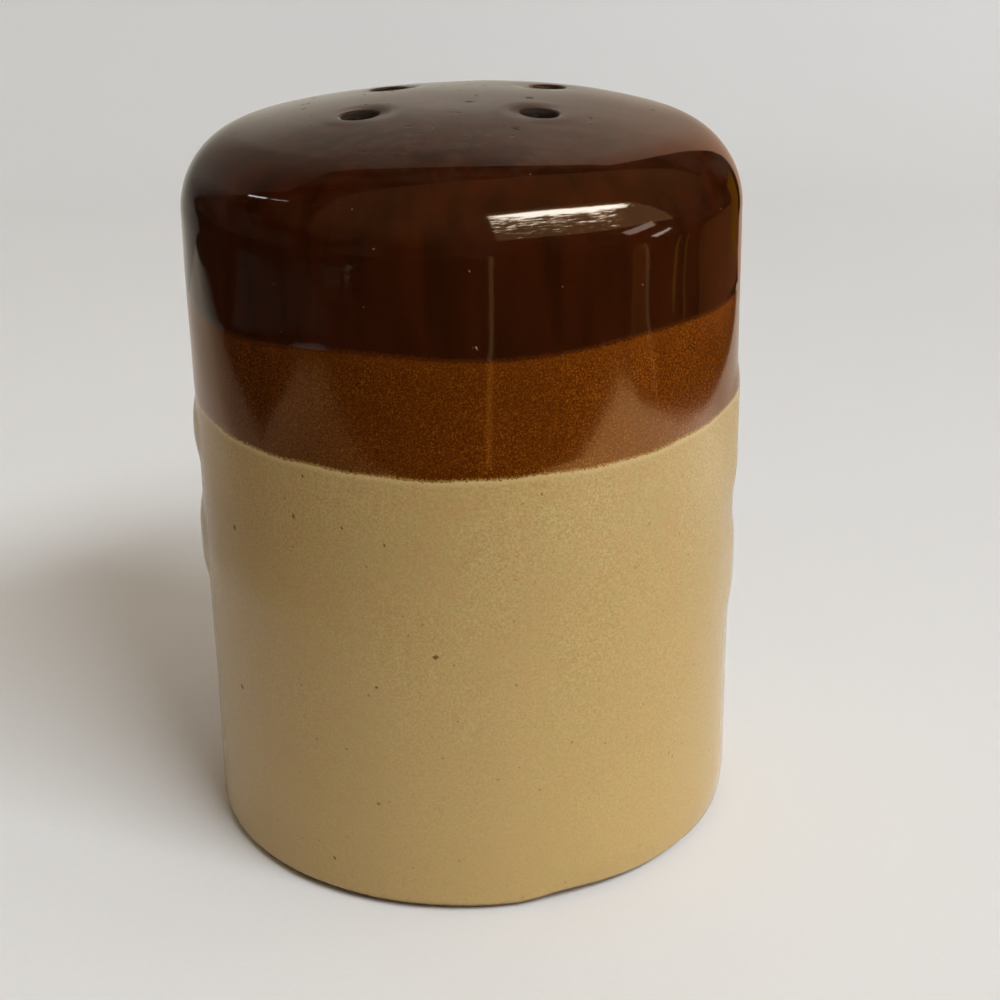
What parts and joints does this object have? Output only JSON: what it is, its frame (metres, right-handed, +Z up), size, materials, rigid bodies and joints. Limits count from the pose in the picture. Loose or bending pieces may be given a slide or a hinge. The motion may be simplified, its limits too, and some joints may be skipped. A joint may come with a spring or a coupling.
{
  "type": "salt shaker",
  "caption": "Cylindrical stoneware salt shaker with a shallow pierced dome and stepped buff, caramel and brown glazes, filled from below through a hole closed by a pull-out stopper.",
  "frame": {"origin": "centre of the foot ring, on the table", "axes": "+Z up along the axis of the body, -Y towards the side that the picture looks at, +X to the right in the picture"},
  "size_m": [0.0671, 0.066, 0.09],
  "materials": {
    "clay": "bare fired stoneware, fine dry grain",
    "buff_glaze": "satin-gloss buff glaze with iron specks",
    "caramel_glaze": "gloss caramel glaze, finely speckled",
    "brown_glaze": "high-gloss dark brown glaze",
    "stopper": "soft moulded plastic, slightly milky"
  },
  "bodies": {
    "shaker": {"clay_body": "clay", "buff_glaze": "buff_glaze", "caramel_glaze": "caramel_glaze", "brown_glaze": "brown_glaze"},
    "plug": {"stopper": "stopper"}
  },
  "joints": [
    {"name": "stopper_pull", "type": "slide", "parent": "shaker", "child": "plug", "axis": [0, 0, -1], "range_m": [0, 0.04]}
  ]
}
